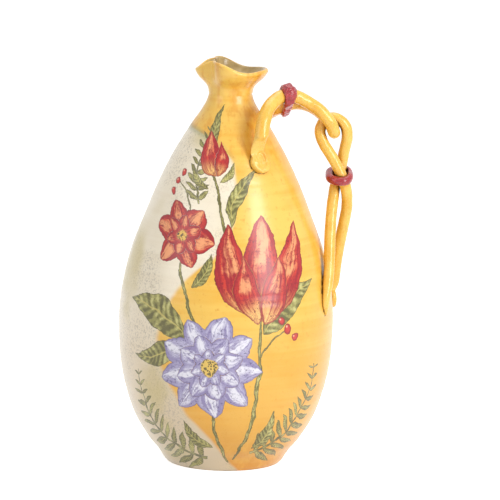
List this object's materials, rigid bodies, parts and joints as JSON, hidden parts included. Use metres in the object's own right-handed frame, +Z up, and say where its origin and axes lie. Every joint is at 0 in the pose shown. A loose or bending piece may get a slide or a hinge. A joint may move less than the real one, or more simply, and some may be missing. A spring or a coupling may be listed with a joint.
{
  "type": "jug",
  "caption": "Tall egg-shaped glazed jug with a pinched beak and a handle of linked and tied rolls of clay, for pouring and display.",
  "frame": {"origin": "middle of the flat foot, on the surface that the jug stands on", "axes": "+Z up along the pot's axis; +X towards the handle; the picture's side faces -Y"},
  "size_m": [0.1853, 0.172, 0.3243],
  "materials": {
    "painted_glaze": "warm yellow glaze with cream and painted flowers, glossy",
    "yellow_glaze": "warm yellow glaze, glossy",
    "red_glaze": "sponged crimson glaze, glossy"
  },
  "bodies": {
    "root": {"belly": "painted_glaze", "neck_and_lip": "painted_glaze", "arch_coil": "yellow_glaze", "link_coil": "yellow_glaze", "arch_tie_band": "red_glaze", "arch_tie_knot": "red_glaze", "link_tie_ring": "red_glaze", "front_root_pad": "yellow_glaze", "back_root_pad": "yellow_glaze", "link_root_pad": "yellow_glaze"}
  },
  "joints": []
}
